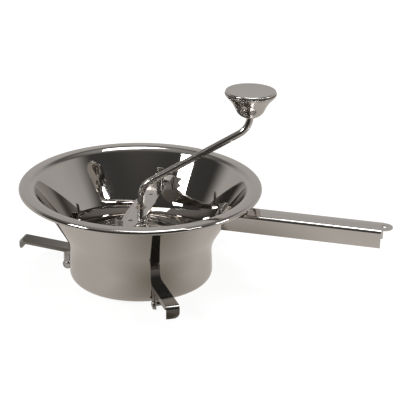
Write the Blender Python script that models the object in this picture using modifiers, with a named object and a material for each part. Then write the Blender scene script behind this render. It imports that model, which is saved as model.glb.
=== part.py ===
"""Hand-cranked rotary food mill: a stainless funnel bowl with a channel handle and three folding pot legs.

Metres, +Z up, standing on the bowl's base ring at z = 0. The handle points along +X and the bridge bar along Y.
Every piece hangs on the "mill" empty, which stands on the bowl's axis; the origin is the centre of the footprint.
Moving pieces hang on an empty on their joint's axis.
"""

import math

import bmesh
import bpy
from mathutils import Matrix, Vector

MM = 0.001

# Fits and steps
FIT_GAP = 0.3 * MM  # between pieces that touch or are welded together
RUN_GAP = 0.6 * MM  # beside a moving piece
SEAM_STEP = 0.1 * MM  # inset that keeps two joined sheets from sharing a face
TURN_STEPS = 48  # facets of the large turned pieces
SMALL_TURN_STEPS = 24

# Bowl: a straight skirt, a flare, a cone and a flat lip, ending in a rolled bead
SHEET = 0.9 * MM
RIM_RADIUS = 122 * MM
RIM_HEIGHT = 98.7 * MM
BEAD_RADIUS = 3.5 * MM
SKIRT_RADIUS = 71 * MM
SKIRT_HEIGHT = 31 * MM
FLARE_RADIUS = 27 * MM
CONE_LEAN = 31  # degrees from vertical
LIP_RADIUS = 8 * MM  # of the bend from the cone to the lip
BASE_CORNER_RADIUS = 4 * MM
BASE_RING_WIDTH = 7 * MM

# Sieve disc
SIEVE_THICKNESS = 0.8 * MM
SIEVE_DOME = 2.5 * MM
SIEVE_HOLE_RADIUS = 3 * MM
SIEVE_HOLE_PITCH = 14 * MM
SIEVE_BUSH_WALL = 4 * MM
SIEVE_BUSH_HEIGHT = 4 * MM

# Handle: an inverted U channel with a tongue that has a hanging hole
HANDLE_SHEET = 1.0 * MM
HANDLE_WIDTH = 24 * MM
HANDLE_DEPTH = 18 * MM
HANDLE_TOP = 80.5 * MM
HANDLE_BEND = 3 * MM
HANDLE_REACH = 242.5 * MM  # from the bowl's axis to the channel's outer end
TONGUE_LENGTH = 10 * MM
HANG_HOLE_RADIUS = 3.1 * MM
WELD_PLATE_LENGTH = 17 * MM

# Legs: an arm across the pot's rim, on two straps that turn on a pin low on the skirt
LEG_ANGLES = (180, -60, 60)
LEG_SHEET = 1.0 * MM
LEG_WIDTH = 13 * MM
LEG_FLANGE = 5 * MM
LEG_ARM_TOP = 20 * MM  # above the base ring, at the pin
LEG_ARM_RISE = 4.6  # degrees above horizontal, outwards
LEG_REACH = 129.5 * MM
LEG_HOOK_DROP = 13 * MM
LEG_HOOK_BEND = 3 * MM
LEG_FILLET = 3 * MM
LEG_STRAP_WIDTH = 4.5 * MM
LEG_EYE_RADIUS = 5 * MM
LEG_PIVOT_HEIGHT = 1.3 * MM  # above the base ring
LEG_PIVOT_OFFSET = 6.4 * MM  # from the skirt's outside to the pin's axis
LEG_PIN_RADIUS = 2 * MM
LEG_PIN_HEAD_RADIUS = 3.2 * MM
LEG_PIN_HEAD = 1.3 * MM
BRACKET_SHEET = 1.0 * MM
BRACKET_DEPTH = 4.2 * MM  # beyond the pin, outwards and downwards
BRACKET_HEIGHT = 15 * MM

# Bridge bar and the lugs that hold its ends down
BAR_TOP = 72 * MM
BAR_THICKNESS = 1.6 * MM
BAR_MIDDLE_WIDTH = 21 * MM
BAR_END_WIDTH = 12 * MM
BAR_HOLE_RADIUS = 2.2 * MM
BAR_HOLE_OFFSET = 35.6 * MM
BAR_TAB_WIDTH = 8 * MM  # of the finger tab standing up near each end
BAR_TAB_HEIGHT = 17 * MM
BAR_TAB_GAP = 1.5 * MM  # from the tab to the lug's roof
BAR_END_GAP = 3 * MM  # from the bar's end to the lug's plate
BUSH_WALL = 1.6 * MM
BUSH_FLANGE = 2.4 * MM
LUG_SHEET = 1.2 * MM
LUG_WIDTH = 20 * MM
LUG_ROOF_DEPTH = 13 * MM
LUG_DROP = 9 * MM

# Crank
CRANK_ANGLE = 16.5
ROD_RADIUS = 3.5 * MM
ROD_FOOT = 2.2 * MM
ROD_BEND = 20 * MM
ROD_RISE = 30  # degrees above horizontal
ROD_CORNER_HEIGHT = 94.4 * MM
KNOB_OFFSET = 107 * MM
CROSS_PIN_RADIUS = 1.5 * MM
CROSS_PIN_LENGTH = 13 * MM
CROSS_PIN_HEIGHT = 86.7 * MM

# Blade and spring
HUB_RADIUS = 8.5 * MM
HUB_BOTTOM = 9 * MM
HUB_HEIGHT = 26 * MM
HUB_PIN_DROP = 7 * MM
WING_THICKNESS = 1.2 * MM
WING_CLEARANCE = 9 * MM  # from a wing's tip to the skirt's outside
WING_TAPER = 0.3  # share of its width that a wing loses towards its tail
WING_STEP = 15  # degrees between a wing's facets
WING_LOW = 7 * MM
AUGER = (100, 135, 23 * MM)  # start and sweep in degrees, and rise
SCRAPER = (290, 60, 12 * MM)
SEAT_THICKNESS = 1.5 * MM
SPRING_WIRE_RADIUS = 1 * MM
SPRING_RADIUS = 6.5 * MM
SPRING_TURNS = 7

# Knob
KNOB_SHEET = 0.8 * MM
KNOB_RADIUS = 25 * MM
KNOB_BASE_RADIUS = 11.5 * MM
KNOB_BOTTOM = 168.6 * MM
KNOB_TOP = 195 * MM
KNOB_LIP = 2.4 * MM
KNOB_CORNER = 4 * MM
KNOB_BUSH_WALL = 2 * MM
KNOB_BUSH_HEIGHT = 12 * MM
ROD_END = 4 * MM  # of the rod above the knob's bush

# Sizes that follow
BEAD_CENTRE = Vector((RIM_RADIUS - BEAD_RADIUS, RIM_HEIGHT - BEAD_RADIUS))
FLARE_CENTRE = Vector((SKIRT_RADIUS + FLARE_RADIUS, SKIRT_HEIGHT))
LEG_PIVOT_RADIUS = SKIRT_RADIUS + LEG_PIVOT_OFFSET
BASE_HEIGHT = LEG_EYE_RADIUS - LEG_PIVOT_HEIGHT  # the mill stands on the legs' eyes
HANDLE_END = HANDLE_REACH + TONGUE_LENGTH
BOWL_X = (LEG_REACH - HANDLE_END) / 2  # the handle and the rear leg span the footprint's length
BORE_RADIUS = ROD_RADIUS + FIT_GAP
HUB_TOP = HUB_BOTTOM + HUB_HEIGHT
WING_REACH = SKIRT_RADIUS - WING_CLEARANCE
SEAT_BOTTOM = HUB_TOP + RUN_GAP
BAR_UNDERSIDE = BAR_TOP - BAR_THICKNESS


CONE_ANGLE = math.radians(CONE_LEAN)
CONE_START = FLARE_CENTRE + FLARE_RADIUS * Vector((-math.cos(CONE_ANGLE), math.sin(CONE_ANGLE)))


def cone_radius(height):
    """Outside radius of the cone at a height."""
    return CONE_START.x + (height - CONE_START.y) * math.tan(CONE_ANGLE)


def inner_cone_radius(height):
    return cone_radius(height) - SHEET / math.cos(CONE_ANGLE)


def lip_centre():
    """Centre of the bend that leads from the cone to the lip, which lies level with the bead's top."""
    height = RIM_HEIGHT - SHEET - LIP_RADIUS
    bend_start = height + LIP_RADIUS * math.sin(CONE_ANGLE)
    return cone_radius(bend_start) + LIP_RADIUS * math.cos(CONE_ANGLE), height


def arc(centre, radius, start, end, steps):
    """Points on a circle from one angle to another, in degrees."""
    angles = [math.radians(start + (end - start) * i / steps) for i in range(steps + 1)]
    return [(centre[0] + radius * math.cos(a), centre[1] + radius * math.sin(a)) for a in angles]


# Scene, collections and materials


def clear_scene():
    for obj in list(bpy.data.objects):
        bpy.data.objects.remove(obj, do_unlink=True)


def new_collection(name):
    collection = bpy.data.collections.new(name)
    bpy.context.scene.collection.children.link(collection)
    return collection


clear_scene()
PARTS = new_collection("food_mill")
CUTTERS = new_collection("cutters")


def steel(name, colour, roughness):
    material = bpy.data.materials.new(name)
    material.use_nodes = True
    shader = material.node_tree.nodes["Principled BSDF"]
    shader.inputs["Base Color"].default_value = (*colour, 1)
    shader.inputs["Metallic"].default_value = 1
    shader.inputs["Roughness"].default_value = roughness
    return material


def empty(name, parent=None, location=(0, 0, 0), turn=0):
    """A guide on an axis, turned about Z by an angle in degrees."""
    guide = bpy.data.objects.new(name, None)
    PARTS.objects.link(guide)
    guide.parent = parent
    guide.location = location
    guide.rotation_euler.z = math.radians(turn)
    return guide


# Modelling tools


def mesh_object(name, mesh, material, parent, smooth=True):
    obj = bpy.data.objects.new(name, mesh)
    PARTS.objects.link(obj)
    obj.parent = parent
    mesh.materials.append(material)
    if smooth:
        mesh.shade_smooth()
        mesh.set_sharp_from_angle(angle=math.radians(35))
    return obj


def as_cutter(obj):
    PARTS.objects.unlink(obj)
    CUTTERS.objects.link(obj)
    obj.hide_render = True
    obj.display_type = "WIRE"
    return obj


def boolean(obj, other, operation):
    modifier = obj.modifiers.new(f"{operation.lower()} {other.name}", "BOOLEAN")
    modifier.operation = operation
    modifier.object = as_cutter(other)


def cut(obj, *cutters):
    for cutter in cutters:
        boolean(obj, cutter, "DIFFERENCE")


def join(obj, *others):
    for other in others:
        boolean(obj, other, "UNION")


def turned(name, profile, material, parent, closed=True, thickness=0, steps=SMALL_TURN_STEPS):
    """A profile of (radius, height) points, outer side first and downwards, swept round Z."""
    mesh = bpy.data.meshes.new(name)
    count = len(profile)
    edges = [(i, i + 1) for i in range(count - 1)]
    if closed:
        edges.append((count - 1, 0))
    mesh.from_pydata([(r, 0, z) for r, z in profile], edges, [])
    obj = mesh_object(name, mesh, material, parent, smooth=False)
    screw = obj.modifiers.new("Turn", "SCREW")
    screw.steps = screw.render_steps = steps
    screw.use_merge_vertices = True
    screw.merge_threshold = 1e-6
    screw.use_smooth_shade = True
    if thickness:
        shell = obj.modifiers.new("Sheet", "SOLIDIFY")
        shell.thickness = thickness
        shell.offset = -1
        shell.use_even_offset = True
    return obj


def ring(name, inner, outer, bottom, top, material, parent, steps=SMALL_TURN_STEPS):
    profile = [(outer, top), (outer, bottom), (inner, bottom), (inner, top)]
    return turned(name, profile, material, parent, steps=steps)


def curve_mesh(curve, name):
    """The closed mesh of a curve object, which is removed."""
    obj = bpy.data.objects.new(name, curve)
    PARTS.objects.link(obj)
    graph = bpy.context.evaluated_depsgraph_get()
    mesh = bpy.data.meshes.new_from_object(obj.evaluated_get(graph))
    bpy.data.objects.remove(obj)
    bpy.data.curves.remove(curve)
    welded = bmesh.new()
    welded.from_mesh(mesh)
    bmesh.ops.remove_doubles(welded, verts=welded.verts, dist=1e-6)
    welded.to_mesh(mesh)
    welded.free()
    mesh.name = name
    return mesh


def plate(name, outline, thickness, material, parent, matrix=None):
    """A flat outline in XY, extruded both ways by half the thickness, then placed by a matrix."""
    curve = bpy.data.curves.new(name, "CURVE")
    curve.dimensions = "2D"
    curve.fill_mode = "BOTH"
    curve.extrude = thickness / 2
    spline = curve.splines.new("POLY")
    spline.points.add(len(outline) - 1)
    for point, (x, y) in zip(spline.points, outline):
        point.co = (x, y, 0, 1)
    spline.use_cyclic_u = True
    mesh = curve_mesh(curve, name)
    mesh.transform(matrix or Matrix())
    return mesh_object(name, mesh, material, parent, smooth=False)


def wire(name, points, radius, material, parent, sides_level=2):
    """A round bar along a list of points."""
    curve = bpy.data.curves.new(name, "CURVE")
    curve.dimensions = "3D"
    curve.bevel_depth = radius
    curve.bevel_resolution = sides_level
    curve.use_fill_caps = True
    spline = curve.splines.new("POLY")
    spline.points.add(len(points) - 1)
    for point, position in zip(spline.points, points):
        point.co = (*position, 1)
    return mesh_object(name, curve_mesh(curve, name), material, parent)


def box(name, low, high, material, parent):
    mesh = bpy.data.meshes.new(name)
    made = bmesh.new()
    bmesh.ops.create_cube(made, size=1)
    low, high = Vector(low), Vector(high)
    size = Matrix.Diagonal((*(high - low), 1))
    made.transform(Matrix.Translation((low + high) / 2) @ size)
    made.to_mesh(mesh)
    made.free()
    return mesh_object(name, mesh, material, parent, smooth=False)


def cylinder(name, radius, length, centre, axis, material, parent, sides=16):
    mesh = bpy.data.meshes.new(name)
    made = bmesh.new()
    turn = Vector((0, 0, 1)).rotation_difference(Vector(axis)).to_matrix().to_4x4()
    bmesh.ops.create_cone(
        made, cap_ends=True, segments=sides, radius1=radius, radius2=radius, depth=length,
        matrix=Matrix.Translation(centre) @ turn,
    )
    made.to_mesh(mesh)
    made.free()
    return mesh_object(name, mesh, material, parent)


SIDE_ON = Matrix.Rotation(math.radians(90), 4, "X")  # stands an XY outline up in the XZ plane


# Bowl and sieve


def bowl(mill, material):
    """Spun sheet, drawn along its outside from the bead's hidden edge down to the base ring."""
    wall = math.degrees(CONE_ANGLE)
    path = arc(BEAD_CENTRE, BEAD_RADIUS - SHEET, -150, 90, 9)
    path += arc(lip_centre(), LIP_RADIUS, 90, 180 - wall, 4)
    path += arc(FLARE_CENTRE, FLARE_RADIUS, 180 - wall, 180, 4)
    corner = (SKIRT_RADIUS - BASE_CORNER_RADIUS, BASE_CORNER_RADIUS)
    path += arc(corner, BASE_CORNER_RADIUS, 0, -90, 4)
    path.append((SKIRT_RADIUS - BASE_CORNER_RADIUS - BASE_RING_WIDTH, 0))
    return turned("bowl", path, material, mill, closed=False, thickness=SHEET, steps=TURN_STEPS)


def sieve_radius():
    """The disc lies on the base ring, just clear of the rounded corner around it."""
    lift = BASE_CORNER_RADIUS - SHEET - FIT_GAP
    inner_corner = BASE_CORNER_RADIUS - SHEET
    return SKIRT_RADIUS - BASE_CORNER_RADIUS + math.sqrt(inner_corner**2 - lift**2) - 2 * RUN_GAP


def sieve_bush_radius():
    return BORE_RADIUS + SIEVE_BUSH_WALL


def sieve_disc(mill, material):
    """Slightly domed disc with rings of holes, lying on the base ring."""
    seat = SHEET + FIT_GAP
    outer = sieve_radius()
    inner = sieve_bush_radius() + FIT_GAP
    flat = BASE_RING_WIDTH

    def height(radius):
        share = min(1, max(0, (radius - inner) / (outer - flat - inner)))
        return seat + SIEVE_DOME * (1 - share * share)

    radii = [outer - (outer - inner) * i / 6 for i in range(7)]
    profile = [(r, height(r)) for r in radii]
    top = [(r, z + SIEVE_THICKNESS) for r, z in reversed(profile)]
    disc = turned("sieve_disc", profile + top, material, mill, steps=TURN_STEPS)
    rings = int((outer - flat - inner - SIEVE_HOLE_RADIUS) / SIEVE_HOLE_PITCH)
    cutters = bmesh.new()
    for number in range(rings):
        radius = outer - flat - SIEVE_HOLE_PITCH * (number + 0.5)
        count = int(math.tau * radius / SIEVE_HOLE_PITCH)
        for i in range(count):
            angle = math.tau * i / count
            place = Matrix.Translation((radius * math.cos(angle), radius * math.sin(angle), height(radius)))
            bmesh.ops.create_cone(
                cutters, cap_ends=True, segments=6, radius1=SIEVE_HOLE_RADIUS, radius2=SIEVE_HOLE_RADIUS,
                depth=6 * SIEVE_THICKNESS, matrix=place,
            )
    mesh = bpy.data.meshes.new("sieve_holes")
    cutters.to_mesh(mesh)
    cutters.free()
    cut(disc, mesh_object("sieve_holes", mesh, material, mill, smooth=False))
    return disc


def sieve_bush(mill, material):
    """Bearing in the middle of the disc for the crank's foot."""
    bottom = SHEET + FIT_GAP + SIEVE_DOME - SIEVE_BUSH_HEIGHT / 2 + SIEVE_THICKNESS / 2
    ring("sieve_bush", BORE_RADIUS, sieve_bush_radius(), bottom, bottom + SIEVE_BUSH_HEIGHT, material, mill)


# Handle


def channel_outline(width, depth, sheet, bend):
    """Section of an inverted U in XY, its top at y = 0."""
    half = width / 2
    outer = arc((half - bend, -bend), bend, 0, 90, 4) + arc((bend - half, -bend), bend, 90, 180, 4)
    inner_bend = bend - sheet
    inner = arc((bend - half, -bend), inner_bend, 180, 90, 4) + arc((half - bend, -bend), inner_bend, 90, 0, 4)
    ends = [(-half, -depth), (-half + sheet, -depth)]
    return outer + ends + inner + [(half - sheet, -depth), (half, -depth)]


def handle(mill, material):
    """Channel from the cone outwards, welded to the bowl by a plate inside its inner end."""
    start = cone_radius(HANDLE_TOP - HANDLE_DEPTH) - HANDLE_DEPTH
    length = HANDLE_REACH - start
    outline = channel_outline(HANDLE_WIDTH, HANDLE_DEPTH, HANDLE_SHEET, HANDLE_BEND)
    along_x = Matrix(((0, 0, 1, 0), (1, 0, 0, 0), (0, 1, 0, 0), (0, 0, 0, 1)))
    place = Matrix.Translation((start + length / 2, 0, HANDLE_TOP)) @ along_x
    channel = plate("handle", outline, length, material, mill, place)

    middle = HANDLE_TOP - HANDLE_DEPTH / 2
    outward = Vector((math.cos(CONE_ANGLE), 0, -math.sin(CONE_ANGLE)))
    centre = Vector((cone_radius(middle), 0, middle)) + outward * (FIT_GAP + HANDLE_SHEET / 2)
    lean = Matrix.Translation(centre) @ Matrix.Rotation(CONE_ANGLE, 4, "Y")
    half_width = HANDLE_WIDTH / 2 - HANDLE_SHEET / 2
    weld_plate = box(
        "weld_plate", (-HANDLE_SHEET / 2, -half_width, -WELD_PLATE_LENGTH / 2),
        (HANDLE_SHEET / 2, half_width, WELD_PLATE_LENGTH / 2), material, mill,
    )
    weld_plate.data.transform(lean)

    root = HANDLE_REACH - HANDLE_BEND * 2
    tip_radius = HANDLE_WIDTH / 2 - HANDLE_BEND
    tip = arc((HANDLE_END - tip_radius, 0), tip_radius, -90, 90, 10)
    tongue = plate(
        "tongue", [(root, -tip_radius)] + tip + [(root, tip_radius)], HANDLE_SHEET - 2 * SEAM_STEP,
        material, mill, Matrix.Translation((0, 0, HANDLE_TOP - HANDLE_SHEET / 2)),
    )
    join(channel, weld_plate, tongue)

    low, high = HANDLE_TOP - 2 * HANDLE_DEPTH, RIM_HEIGHT
    gap = FIT_GAP / math.cos(CONE_ANGLE)
    bowl_space = turned(
        "bowl_space", [(0, high), (cone_radius(high) + gap, high), (cone_radius(low) + gap, low), (0, low)],
        material, mill, steps=2 * TURN_STEPS,
    )
    hang_hole = cylinder(
        "hang_hole", HANG_HOLE_RADIUS, 6 * HANDLE_SHEET,
        (HANDLE_END - tip_radius, 0, HANDLE_TOP - HANDLE_SHEET / 2), (0, 0, 1), material, mill, sides=20,
    )
    cut(channel, bowl_space, hang_hole)
    return channel


# Legs


def arm_top(reach):
    """Height of the arm's top above the pin at a distance outwards from the pin."""
    return LEG_ARM_TOP - LEG_PIVOT_HEIGHT + reach * math.tan(math.radians(LEG_ARM_RISE))


def leg_strap_outline():
    """Side of a leg, from its pin: the eye, the strap up the skirt and the flange along the arm."""
    inner_end = RUN_GAP - LEG_PIVOT_OFFSET + SEAM_STEP
    outer_end = LEG_REACH - LEG_PIVOT_RADIUS - LEG_SHEET - LEG_HOOK_BEND
    half = LEG_STRAP_WIDTH / 2
    corner = LEG_FILLET + half
    meet = math.degrees(math.asin(half / LEG_EYE_RADIUS))

    def sheet_middle(reach):
        return arm_top(reach) - LEG_SHEET / 2

    def flange(reach):
        return sheet_middle(reach) - LEG_FLANGE

    eye = arc((0, 0), LEG_EYE_RADIUS, 90 + meet, 450 - meet, 14)
    fillet = arc((corner, flange(corner) - LEG_FILLET), LEG_FILLET, 180, 90 + LEG_ARM_RISE, 4)
    arm = [(reach, height(reach)) for reach, height in (
        (outer_end, flange), (outer_end, sheet_middle), (inner_end, sheet_middle))]
    gusset = [(inner_end, flange(inner_end) + LEG_SHEET), (-half, flange(-half) - 2 * LEG_SHEET)]
    return eye + fillet + arm + gusset


def leg_top_outline():
    """Side of the arm's top sheet and the hook at its end."""
    end = LEG_REACH - LEG_PIVOT_RADIUS
    bend = LEG_HOOK_BEND + LEG_SHEET
    inner_end = RUN_GAP - LEG_PIVOT_OFFSET
    rise = math.radians(LEG_ARM_RISE)
    centre = (end - bend, arm_top(end - bend) - bend / math.cos(rise))
    tip = arm_top(end) - LEG_HOOK_DROP
    outside = arc(centre, bend, 90 + LEG_ARM_RISE, 0, 5) + [(end, tip)]
    inside = [(end - LEG_SHEET, tip)] + arc(centre, LEG_HOOK_BEND, 0, 90 + LEG_ARM_RISE, 5)
    under = arm_top(inner_end) - LEG_SHEET / math.cos(rise)
    return [(inner_end, arm_top(inner_end))] + outside + inside + [(inner_end, under)]


def leg(number, pivot, material):
    """Arm on two side straps; its origin is on the pin."""
    name = f"leg_{number}"
    body = plate(name, leg_top_outline(), LEG_WIDTH, material, pivot, SIDE_ON)
    offset = LEG_WIDTH / 2 - LEG_SHEET / 2 - SEAM_STEP
    for side in (-1, 1):
        place = Matrix.Translation((0, side * offset, 0)) @ SIDE_ON
        join(body, plate(f"{name}_side{side}", leg_strap_outline(), LEG_SHEET, material, pivot, place))
    hole = cylinder(
        f"{name}_hole", LEG_PIN_RADIUS + FIT_GAP, 2 * LEG_WIDTH, (0, 0, 0), (0, 1, 0), material, pivot
    )
    cut(body, hole)
    return body


def leg_bracket(number, pivot, material):
    """U bracket welded to the skirt, its two ears between the leg's straps."""
    half = LEG_WIDTH / 2 - LEG_SHEET - RUN_GAP
    back = FIT_GAP - LEG_PIVOT_OFFSET
    front = BRACKET_DEPTH
    outline = [
        (back, -half), (front, -half), (front, BRACKET_SHEET - half), (back + BRACKET_SHEET, BRACKET_SHEET - half),
        (back + BRACKET_SHEET, half - BRACKET_SHEET), (front, half - BRACKET_SHEET), (front, half), (back, half),
    ]
    middle = Matrix.Translation((0, 0, BRACKET_HEIGHT / 2 - BRACKET_DEPTH))
    bracket = plate(f"leg_bracket_{number}", outline, BRACKET_HEIGHT, material, pivot, middle)
    hole = cylinder(
        f"bracket_hole_{number}", LEG_PIN_RADIUS + FIT_GAP, 2 * LEG_WIDTH, (0, 0, 0), (0, 1, 0), material, pivot
    )
    cut(bracket, hole)


def leg_pin(number, pivot, material):
    """Rivet through the bracket and both straps."""
    inner = LEG_WIDTH / 2 + FIT_GAP
    outer = inner + LEG_PIN_HEAD
    edge = LEG_PIN_HEAD_RADIUS - LEG_PIN_HEAD / 2
    half = [(edge, outer), (LEG_PIN_HEAD_RADIUS, inner), (LEG_PIN_RADIUS, inner)]
    profile = [(0, outer)] + half + [(r, -z) for r, z in reversed(half)] + [(0, -outer)]
    pin = turned(f"leg_pin_{number}", profile, material, pivot, closed=False, steps=16)
    pin.rotation_euler.x = math.radians(90)


# Bridge


def lug_plate_radius():
    """Distance from the bowl's axis to the inner face of a lug's plate, at the bar's height."""
    sag = LUG_WIDTH**2 / (8 * inner_cone_radius(BAR_TOP))
    return inner_cone_radius(BAR_UNDERSIDE - LUG_DROP / 2) - sag - FIT_GAP - LUG_SHEET / math.cos(CONE_ANGLE)


def lug_roof_radius():
    """Distance from the bowl's axis to the inner edge of a lug's roof."""
    height = BAR_TOP + RUN_GAP - (BAR_UNDERSIDE - LUG_DROP / 2)
    return lug_plate_radius() + height * math.tan(CONE_ANGLE) - LUG_ROOF_DEPTH


def bridge_bar(bridge, material):
    """Flat bar across the bowl, widest in the middle, with a finger tab near each end."""
    reach = lug_plate_radius() - BAR_END_GAP
    middle, end = BAR_MIDDLE_WIDTH / 2, BAR_END_WIDTH / 2
    waist = 2 * middle
    quarter = [(middle, waist), (end, reach - end / 2), (end / 2, reach)]
    right = [(x, -y) for x, y in reversed(quarter)] + quarter
    outline = right + [(-x, -y) for x, y in right]
    bar = plate("bridge_bar", outline, BAR_THICKNESS, material, bridge)
    bar.location.z = BAR_TOP - BAR_THICKNESS / 2
    centre_radius = BORE_RADIUS + BUSH_WALL + FIT_GAP
    holes = [(0, centre_radius), (BAR_HOLE_OFFSET, BAR_HOLE_RADIUS), (-BAR_HOLE_OFFSET, BAR_HOLE_RADIUS)]
    for number, (y, radius) in enumerate(holes):
        where = (0, y, bar.location.z)
        cut(bar, cylinder(f"bar_hole_{number}", radius, 4 * BAR_THICKNESS, where, (0, 0, 1), material, bridge))
    outside = lug_roof_radius() - BAR_TAB_GAP
    inside = outside - BAR_THICKNESS
    bottom = -BAR_THICKNESS / 2 + SEAM_STEP
    for number, side in enumerate((1, -1)):
        low = (-BAR_TAB_WIDTH / 2, min(side * inside, side * outside), bottom)
        high = (BAR_TAB_WIDTH / 2, max(side * inside, side * outside), bottom + BAR_TAB_HEIGHT)
        tab = box(f"bar_tab_{number}", low, high, material, bridge)
        tab.location.z = bar.location.z
        join(bar, tab)


def bridge_bush(bridge, material):
    """Eyelet in the bar that the shaft turns in, with its flange below."""
    tube = BORE_RADIUS + BUSH_WALL
    flange_top = BAR_UNDERSIDE - FIT_GAP
    flange_bottom = flange_top - BUSH_WALL / 2
    top = BAR_TOP + FIT_GAP
    profile = [(tube, top), (tube, flange_top), (tube + BUSH_FLANGE, flange_top)]
    profile += [(tube + BUSH_FLANGE, flange_bottom), (BORE_RADIUS, flange_bottom), (BORE_RADIUS, top)]
    turned("bridge_bush", profile, material, bridge)


def bridge_lug(number, side, material):
    """Bracket on the cone's inside: a plate on the wall, a roof over the bar's end and a stop beside it."""
    half = LUG_WIDTH / 2
    roof_bottom = BAR_TOP + RUN_GAP
    roof_top = roof_bottom + LUG_SHEET
    foot = BAR_UNDERSIDE - LUG_DROP
    lean = math.tan(CONE_ANGLE)
    face = lug_plate_radius() - (BAR_UNDERSIDE - LUG_DROP / 2) * lean
    deep = LUG_SHEET / math.cos(CONE_ANGLE)

    def on_face(height):
        return face + height * lean

    inner = on_face(roof_bottom) - LUG_ROOF_DEPTH
    section = [
        (inner, roof_bottom), (on_face(roof_bottom), roof_bottom), (on_face(foot), foot),
        (on_face(foot) + deep, foot), (on_face(roof_top) + deep, roof_top), (inner, roof_top),
    ]
    name = f"bridge_lug_{number}"
    lug = plate(name, section, LUG_WIDTH, material, side, SIDE_ON)
    stop_section = [
        (inner + SEAM_STEP, roof_bottom + LUG_SHEET / 2), (inner + SEAM_STEP, BAR_UNDERSIDE),
        (on_face(foot) + deep / 2, foot + SEAM_STEP), (on_face(roof_bottom) + deep / 2, roof_bottom + LUG_SHEET / 2),
    ]
    place = Matrix.Translation((0, SEAM_STEP + LUG_SHEET / 2 - half, 0)) @ SIDE_ON
    join(lug, plate(f"{name}_stop", stop_section, LUG_SHEET, material, side, place))


# Spring carriage


def spring_seat(carriage, material):
    """Thrust washer between the spring and the blade's hub."""
    outer = SPRING_RADIUS + 2 * SPRING_WIRE_RADIUS
    ring("spring_seat", BORE_RADIUS, outer, SEAT_BOTTOM, SEAT_BOTTOM + SEAT_THICKNESS, material, carriage)


def pressure_spring(carriage, material):
    """Compression spring that holds the blade down on the sieve."""
    low = SEAT_BOTTOM + SEAT_THICKNESS + FIT_GAP + SPRING_WIRE_RADIUS
    high = BAR_UNDERSIDE - 2 * FIT_GAP - BUSH_WALL / 2 - SPRING_WIRE_RADIUS
    per_turn = 8
    count = SPRING_TURNS * per_turn
    points = []
    for i in range(count + 1):
        angle = math.tau * i / per_turn
        height = low + (high - low) * i / count
        points.append((SPRING_RADIUS * math.cos(angle), SPRING_RADIUS * math.sin(angle), height))
    wire("pressure_spring", points, SPRING_WIRE_RADIUS, material, carriage)


# Crank, blade and knob


def crank_rod(crank, material):
    """Bent bar: up the bowl's axis, out over the rim and up through the knob."""
    turn = 90 - ROD_RISE
    setback = ROD_BEND * math.tan(math.radians(turn / 2))
    upper_corner = ROD_CORNER_HEIGHT + KNOB_OFFSET * math.tan(math.radians(ROD_RISE))
    lower_centre = (ROD_BEND, ROD_CORNER_HEIGHT - setback)
    upper_centre = (KNOB_OFFSET - ROD_BEND, upper_corner + setback)
    path = [(0, ROD_FOOT)]
    path += arc(lower_centre, ROD_BEND, 180, 180 - turn, 6)
    path += arc(upper_centre, ROD_BEND, -turn, 0, 6)
    path.append((KNOB_OFFSET, KNOB_BOTTOM + KNOB_BUSH_HEIGHT + ROD_END))
    rod = wire("crank_rod", [(x, 0, z) for x, z in path], ROD_RADIUS, material, crank, sides_level=4)
    radius = CROSS_PIN_RADIUS + FIT_GAP
    for name, height in (("cross_hole", CROSS_PIN_HEIGHT), ("hub_hole", HUB_TOP - HUB_PIN_DROP)):
        cutter = cylinder(name, radius, 4 * ROD_RADIUS, (0, 0, height), (0, 1, 0), material, crank, sides=12)
        cut(rod, cutter)


def cross_pin(crank, material):
    """Keeps the bridge on the shaft when the crank is lifted out."""
    centre = (0, 0, CROSS_PIN_HEIGHT)
    cylinder("cross_pin", CROSS_PIN_RADIUS, CROSS_PIN_LENGTH, centre, (0, 1, 0), material, crank, sides=12)


def blade_hub(crank, material):
    hub = ring("blade_hub", BORE_RADIUS, HUB_RADIUS, HUB_BOTTOM, HUB_TOP, material, crank)
    radius = CROSS_PIN_RADIUS + FIT_GAP
    centre = (0, 0, HUB_TOP - HUB_PIN_DROP)
    cut(hub, cylinder("hub_bore", radius, 3 * HUB_RADIUS, centre, (0, 1, 0), material, crank, sides=12))


def hub_pin(crank, material):
    """Fixes the hub to the shaft."""
    centre = (0, 0, HUB_TOP - HUB_PIN_DROP)
    cylinder("hub_pin", CROSS_PIN_RADIUS, 2 * HUB_RADIUS, centre, (0, 1, 0), material, crank, sides=12)


def blade_wing(name, start, sweep, rise, crank, material):
    """Helical sheet round the hub, from its working edge near the sieve up to its tail."""
    around, across = max(3, round(sweep / WING_STEP)), 3
    inner = HUB_RADIUS + FIT_GAP
    made = bmesh.new()
    rows = []
    for i in range(around + 1):
        share = i / around
        angle = math.radians(start + sweep * share)
        reach = WING_REACH - (WING_REACH - inner) * WING_TAPER * share * share
        height = WING_LOW + rise * share
        radii = [inner + (reach - inner) * j / across for j in range(across + 1)]
        rows.append([made.verts.new((r * math.cos(angle), r * math.sin(angle), height)) for r in radii])
    for row, following in zip(rows, rows[1:]):
        for j in range(across):
            made.faces.new((row[j], row[j + 1], following[j + 1], following[j]))
    mesh = bpy.data.meshes.new(name)
    made.to_mesh(mesh)
    made.free()
    wing = mesh_object(name, mesh, material, crank)
    sheet = wing.modifiers.new("Sheet", "SOLIDIFY")
    sheet.thickness = WING_THICKNESS
    sheet.offset = 1


def knob_slope():
    """Cone of the knob: radius per unit of height."""
    return (KNOB_RADIUS - KNOB_BASE_RADIUS) / (KNOB_TOP - KNOB_LIP - KNOB_BOTTOM)


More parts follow.
